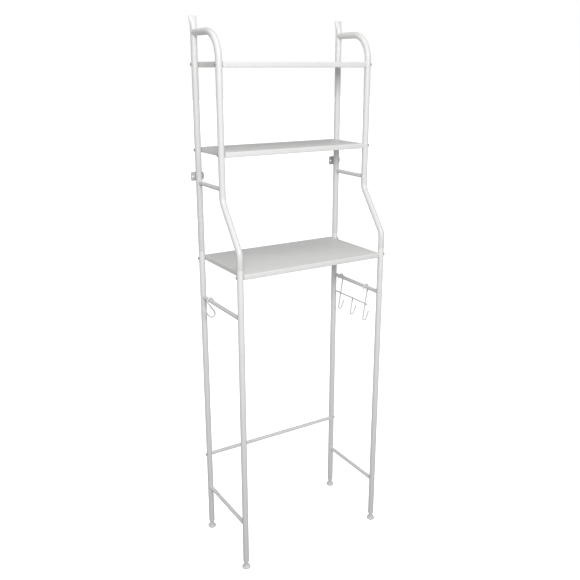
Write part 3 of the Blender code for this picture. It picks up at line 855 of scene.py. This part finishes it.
# %% [markdown]
# ## Feet and plugs
# Each leg ends in a moulded plug with a rounded collar, and a foot screws into it to level
# the rack. Both are turned shapes. A ring is drawn up step by step, and resized at each
# step, as a potter draws up a wall. A small bevel then rounds every ring of the profile.

# %% Turning helper
LATHE_SIDES = 56


def turn_up(profile, x, y, closed=False):
    """Rings at (radius, height), from the first to the last. closed joins the last to the first."""
    radius, height = profile[0]
    start_clean()
    bpy.ops.mesh.primitive_circle_add(
        vertices=LATHE_SIDES, radius=radius, fill_type="NOTHING", location=(x, y, height),
        enter_editmode=True,
    )
    for next_radius, next_height in profile[1:] + profile[: 1 if closed else 0]:
        step, share = next_height - height, next_radius / radius
        bpy.ops.mesh.extrude_region_move(TRANSFORM_OT_translate={"value": (0, 0, step)})
        bpy.ops.transform.resize(value=(share, share, 1), center_override=(x, y, next_height))
        radius, height = next_radius, next_height
    if not closed:
        bpy.ops.mesh.select_all(action="SELECT")
        bpy.ops.mesh.fill_holes(sides=0)
    obj = rest()
    face_out(obj)
    return obj


print("turned pieces have", LATHE_SIDES, "sides")

# %% Profiles of the foot and the plug, in millimetres
# Each ring is (radius, height above the floor).
FOOT_RINGS = [
    (8.2, 0), (10.4, 1.2), (12.1, 2.8), (13, 4.8), (13, 6.5), (12.2, 8.2), (10, 10),
    (7.4, 11), (6.4, 12), (6.4, 20.9),
]
STUD_CREST = 3.0
STUD_ROOT = 2.55
STUD_PITCH = 1.25
STUD_TOP = 51.0
COLLAR_RINGS = [(6.4, 21.2), (7.2, 22.3), (8.1, 23.8), (8.7, 25.5), (8.7, 25.7)]
PLUG_R = 7.7
PLUG_TOP = 56.0
PLUG_CHAMFER = 1.0
STUD_BORE = 3.3


def in_metres(rings):
    return [(radius * MM, height * MM) for radius, height in rings]


def stud_rings():
    """A thread drawn as rings, since its slope is too small to see at this size."""
    rings = [(STUD_ROOT, FOOT_RINGS[-1][1])]
    height = rings[0][1] + 0.4
    while height < STUD_TOP - STUD_PITCH:
        rings += [(STUD_ROOT, height), (STUD_CREST, height + STUD_PITCH / 2)]
        height += STUD_PITCH
    return [*rings, (STUD_ROOT, height), (STUD_ROOT - 0.5, STUD_TOP)]


print("the stud has", len(stud_rings()), "rings")

# %% Feet and plugs
FOOT_ROUNDING = 0.5 * MM
PLUG_ROUNDING = 0.25 * MM

foot = turn_up(in_metres(FOOT_RINGS + stud_rings()), 0, 0)
round_edges(foot, FOOT_ROUNDING, 4, 14)
plug_rings = [*COLLAR_RINGS, (PLUG_R, COLLAR_RINGS[-1][1]),
              (PLUG_R, PLUG_TOP - PLUG_CHAMFER), (PLUG_R - PLUG_CHAMFER, PLUG_TOP)]
plug_rings += [(STUD_BORE, PLUG_TOP), (STUD_BORE, COLLAR_RINGS[0][1])]
plug = turn_up(in_metres(plug_rings), 0, 0, closed=True)
round_edges(plug, PLUG_ROUNDING, 3, 14)
for side in SIDES:
    for row in ("rear", "front"):
        for master, kind in ((foot, "foot"), (plug, "leg_insert")):
            node = f"{side}_{row}_{kind}"
            where = middle(node)
            piece = copy_to(master, Matrix.Translation((where.x, where.y, 0)))
            finish(piece, node + "_moulding", FOOT_PLASTIC, node)
for master in (foot, plug):
    bpy.data.objects.remove(master)
print("feet and plugs:", sum(o.name.endswith("_moulding") for o in made))

# %% [markdown]
# ## Wire hooks
# The hook rack is 5 mm wire: two long hangers curl over the side bar, a cross wire is
# welded to them, and a short hook is welded to its middle. Each wire is one path in the
# plane across the bar, with the helper that drew the tubes. The hooks hang where they
# balance, so each path is turned a little about its curl.

# %% Wire helper
WIRE_R = 2.5 * MM
WIRE_END_ROUNDING = 1.6 * MM
joints = {joint["name"]: joint for joint in frame["joints"]}


def across_bar(side_sign, out, up):
    """A direction or step across the bar: out is away from the rack's middle."""
    return Vector((side_sign * out, 0, up))


def finish_wire(obj, name, node):
    edit()
    bpy.ops.mesh.select_all(action="SELECT")
    bpy.ops.mesh.remove_doubles(threshold=MERGE_DISTANCE)
    bpy.ops.mesh.fill_holes(sides=0)
    rest()
    face_out(obj)
    round_edges(obj, WIRE_END_ROUNDING, 5, 70)
    return finish(obj, name, WIRE_COAT, node)


def bend_wire(node, centre, side_sign, tilt, start, heading, moves):
    """A wire drawn across the bar, turned by tilt degrees about its curl's centre."""
    axis = Vector((0, -side_sign, 0))
    swing = Matrix.Rotation(math.radians(tilt), 3, axis)
    place = centre + swing @ across_bar(side_sign, *start)
    angle = math.radians(heading)
    toward = swing @ across_bar(side_sign, math.cos(angle), math.sin(angle))
    wire = draw_tube(place, toward, moves, WIRE_R, WIRE_SIDES, axis)
    return finish_wire(wire, node + "_wire", node)


print(f"wire: {2 * WIRE_R / MM:.1f} mm")

# %% Hook rack
RACK_TILT = -8.633
RACK_CURL = 9.0 * MM
RACK_WRAP = 225.0
RACK_DROP = 110 * MM
J_RADIUS = 6.5 * MM
J_FLARE = 12.0
J_RISE = 30 * MM
CROSS_WIRE_DROP = 53.5 * MM
MIDDLE_HOOK_TOP = 3 * MM

pivot = Vector(joints["hook_rack_swing"]["pos_m"])
bar_z = middle("right_hook_bar").z
drop = RACK_DROP - (bar_z - pivot.z) - J_RADIUS
flare = math.radians(J_FLARE)
tip = (J_RISE - J_RADIUS * (1 - math.sin(flare))) / math.cos(flare)
hook = [(J_RADIUS, 180 - J_FLARE), (tip, 0)]
wrap = math.radians(RACK_WRAP)
curl_start = (RACK_CURL * math.cos(wrap), RACK_CURL * math.sin(wrap))
for word in ("back", "front"):
    node = f"hook_rack_{word}_hanger"
    centre = Vector((pivot.x, middle(node).y, pivot.z))
    moves = [(RACK_CURL, -RACK_WRAP), (drop, 0), *hook]
    bend_wire(node, centre, 1, RACK_TILT, curl_start, RACK_WRAP - 90, moves)

node = "hook_rack_middle_hook"
centre = Vector((pivot.x, middle(node).y, pivot.z))
top = -CROSS_WIRE_DROP + MIDDLE_HOOK_TOP
bend_wire(node, centre, 1, RACK_TILT, (RACK_CURL, top), -90, [(drop + top, 0), *hook])

node = "hook_rack_cross_wire"
low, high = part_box(node)
ends = Vector((middle(node).x, low.y, middle(node).z))
cross = draw_tube(ends, (0, 1, 0), [(high.y - low.y, 0)], WIRE_R, WIRE_SIDES)
finish_wire(cross, node + "_wire", node)
print("hook rack:", [o.name for o in made[-4:]])

# %% Weld nuggets on the hook rack
NUGGET_R = 1.25 * MM
NUGGET_RIPPLE = 0.5 * MM
stems = ["hook_rack_back_hanger", "hook_rack_middle_hook", "hook_rack_front_hanger"]
cross_x, cross_z = middle("hook_rack_cross_wire").x, middle("hook_rack_cross_wire").z
tilt = math.radians(-RACK_TILT)
gap_way = Vector((math.cos(tilt), 0, math.sin(tilt)))
for stem in stems:
    at = Vector((cross_x, middle(stem).y, cross_z)) + gap_way * WIRE_R
    start_clean()
    bpy.ops.mesh.primitive_ico_sphere_add(subdivisions=4, radius=NUGGET_R, location=at)
    bpy.ops.transform.resize(value=(0.8, 1.7, 1.7), center_override=at)
    nugget = bpy.context.object
    apply_modifier(
        nugget, "DISPLACE", texture=ripple, strength=NUGGET_RIPPLE, mid_level=0.5,
        texture_coords="GLOBAL"
    )
    finish(nugget, stem + "_weld", WIRE_COAT, body="hook_rack")
print("nuggets:", len(stems))

# %% [markdown]
# ## S-hook
# The loose hook on the left bar is one wire: a curl that rests on the bar, a straight
# limb, a belly that turns back up, and a straight tip that leans out.

# %% S-hook
S_TILT = 2.819
S_CURL = 9.5 * MM
S_WRAP = 259.0
S_START = 222.0
S_LIMB = 35.8 * MM
S_BELLY = 10.5 * MM
S_BELLY_TURN = 182.0
S_TIP = 25.8 * MM

pivot = Vector(joints["s_hook_swing"]["pos_m"])
first = math.radians(S_START)
start = (S_CURL * math.cos(first), S_CURL * math.sin(first))
moves = [(S_CURL, -S_WRAP), (S_LIMB, 0), (S_BELLY, S_BELLY_TURN), (S_TIP, 0)]
bend_wire("s_hook", pivot, -1, S_TILT, start, S_START - 90, moves)
print("S-hook:", made[-1].name)

# %% Hooks compared with the frame
for node in [*stems, "s_hook"]:
    low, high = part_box(node)
    shown = made[[o.name for o in made].index(node + "_wire")]
    off = max(abs(shown.bound_box[0][i] - low[i]) for i in range(3))
    off = max(off, max(abs(shown.bound_box[6][i] - high[i]) for i in range(3)))
    print(f"{node}: within {off * 1000:.2f} mm of its place")

# %% [markdown]
# ## Sleeves inside the seams
# The four sleeves are hidden inside the tubes and their shape is right already, so the CAD
# nodes stay, with a bare steel finish.

# %% Sleeves
for side in SIDES:
    for row in ("rear", "front"):
        sleeve = frame["nodes"][f"{side}_{row}_connector"]
        sleeve.data.materials.clear()
        sleeve.data.materials.append(BARE_STEEL)
print("sleeves keep their CAD shape:", 4)

# %% [markdown]
# ## Floor, light and camera
# A white product is shot on a white sweep, with a big soft light beside the camera so
# that its own faces shade it. Nothing here belongs to the rack.

# %% Floor
start_clean()
bpy.ops.mesh.primitive_plane_add(size=60, location=(0, 0, -0.0005))
floor = bpy.context.object
floor.name = "studio_floor"
paper, tree, shader, place = new_material("white_studio_paper", {"Roughness": 0.9})
fibres = add_node(
    tree, "TexNoise", {"Scale": per_metre(8), "Detail": 3.0}, {"Vector": place}
).outputs["Fac"]
tone = add_node(
    tree, "Mix", {"data_type": "RGBA", 6: from_hex("#F6F6F6"), 7: from_hex("#FFFFFF")},
    {"Factor": fibres},
)
tree.links.new(tone.outputs[2], shader.inputs["Base Color"])
shader.inputs["Emission Color"].default_value = (1, 1, 1, 1)
shader.inputs["Emission Strength"].default_value = 0.9
floor.data.materials.append(paper)
floor.visible_diffuse = False
floor.visible_glossy = False
floor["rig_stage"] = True
print("floor:", floor.name)

# %% Light
ROOM_LIGHT = 0.4
world = bpy.data.worlds.new("studio")
bpy.context.scene.world = world
world.use_nodes = True
sky = world.node_tree.nodes["Background"]
sky.inputs["Color"].default_value = (1, 1, 1, 1)
seen = add_node(world.node_tree, "LightPath").outputs["Is Camera Ray"]
strength = add_node(
    world.node_tree, "MapRange", {"To Min": ROOM_LIGHT, "To Max": 1.0}, {"Value": seen}
)
world.node_tree.links.new(strength.outputs["Result"], sky.inputs["Strength"])


def soft_light(name, place, aim, size, watts):
    lamp = bpy.data.lights.new(name, "AREA")
    lamp.shape = "RECTANGLE"
    lamp.size, lamp.size_y = size
    lamp.energy = watts
    obj = bpy.data.objects.new(name, lamp)
    obj.location = place
    obj.rotation_euler = (Vector(aim) - Vector(place)).to_track_quat("-Z", "Y").to_euler()
    bpy.context.scene.collection.objects.link(obj)
    return obj


soft_light("key", (-1.0, -2.4, 2.3), (0, 0, 1.3), (1.6, 1.2), 58)
soft_light("top", (0, -0.2, 3.4), (0, 0, 0), (1.8, 1.2), 9)

# %% Camera
lens = bpy.data.cameras.new("camera")
lens.lens = 44.21
lens.sensor_width = 36.0
camera = bpy.data.objects.new("camera", lens)
camera.location = (-1.088, -1.762, 1.474)
camera.rotation_euler = (math.radians(72.624), 0, math.radians(-31.509))
bpy.context.scene.collection.objects.link(camera)
bpy.context.scene.camera = camera
bpy.context.scene.view_settings.view_transform = "Standard"
print("camera at", tuple(round(v, 3) for v in camera.location))

# %% Sizes and finish
boxes = {"cad": CAD_BOX, "visual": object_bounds()}
boxes = {name: [[float(v) for v in corner] for corner in box] for name, box in boxes.items()}
print(json.dumps(boxes))
